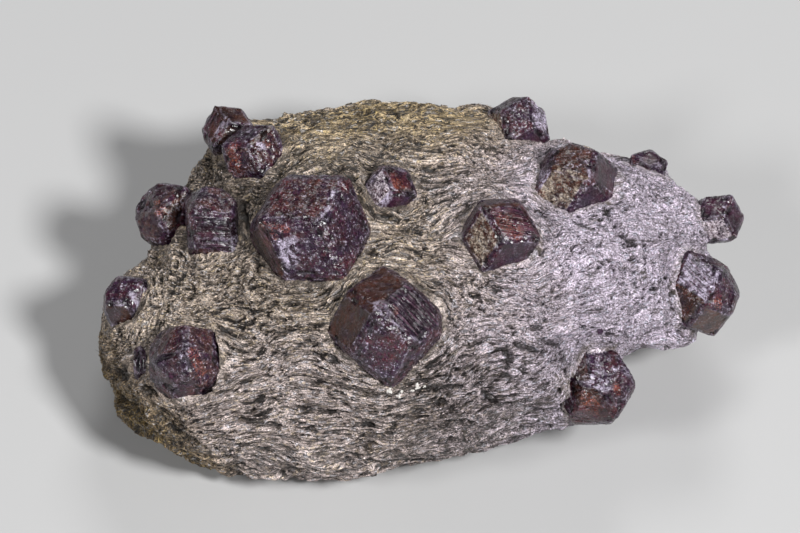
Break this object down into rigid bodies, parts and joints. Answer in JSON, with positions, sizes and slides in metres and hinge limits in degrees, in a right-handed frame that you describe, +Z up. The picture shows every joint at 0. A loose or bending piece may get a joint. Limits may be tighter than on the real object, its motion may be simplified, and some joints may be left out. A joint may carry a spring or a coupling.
{
  "type": "garnet in matrix",
  "caption": "Weathered block of mica schist with dark red faceted garnet crystals standing out of its upper side.",
  "frame": {"origin": "centre of the bounding box in plan, at the level the stone rests on", "axes": "+X along the stone's length, to the right when the crystal side is seen from the front; +Y from the front to the back, the way the crystal side rises; +Z up"},
  "size_m": [0.1282, 0.0842, 0.0565],
  "materials": {
    "schist": "silvery mica schist, weathered",
    "garnet": "vitreous, dark red"
  },
  "bodies": {
    "root": {"schist": "schist", "garnet_top_left_dark": "garnet", "garnet_top_left_red": "garnet", "garnet_left_rim": "garnet", "garnet_left_front": "garnet", "garnet_largest": "garnet", "garnet_large_lower": "garnet", "garnet_mica_coated": "garnet", "garnet_middle_right": "garnet", "garnet_top_rim": "garnet", "garnet_upper_right": "garnet", "garnet_buried_rim": "garnet", "garnet_right_tip": "garnet", "garnet_right_edge": "garnet", "garnet_broken": "garnet", "garnet_left_end": "garnet", "garnet_lower_left": "garnet", "garnet_sliver": "garnet"}
  },
  "joints": []
}
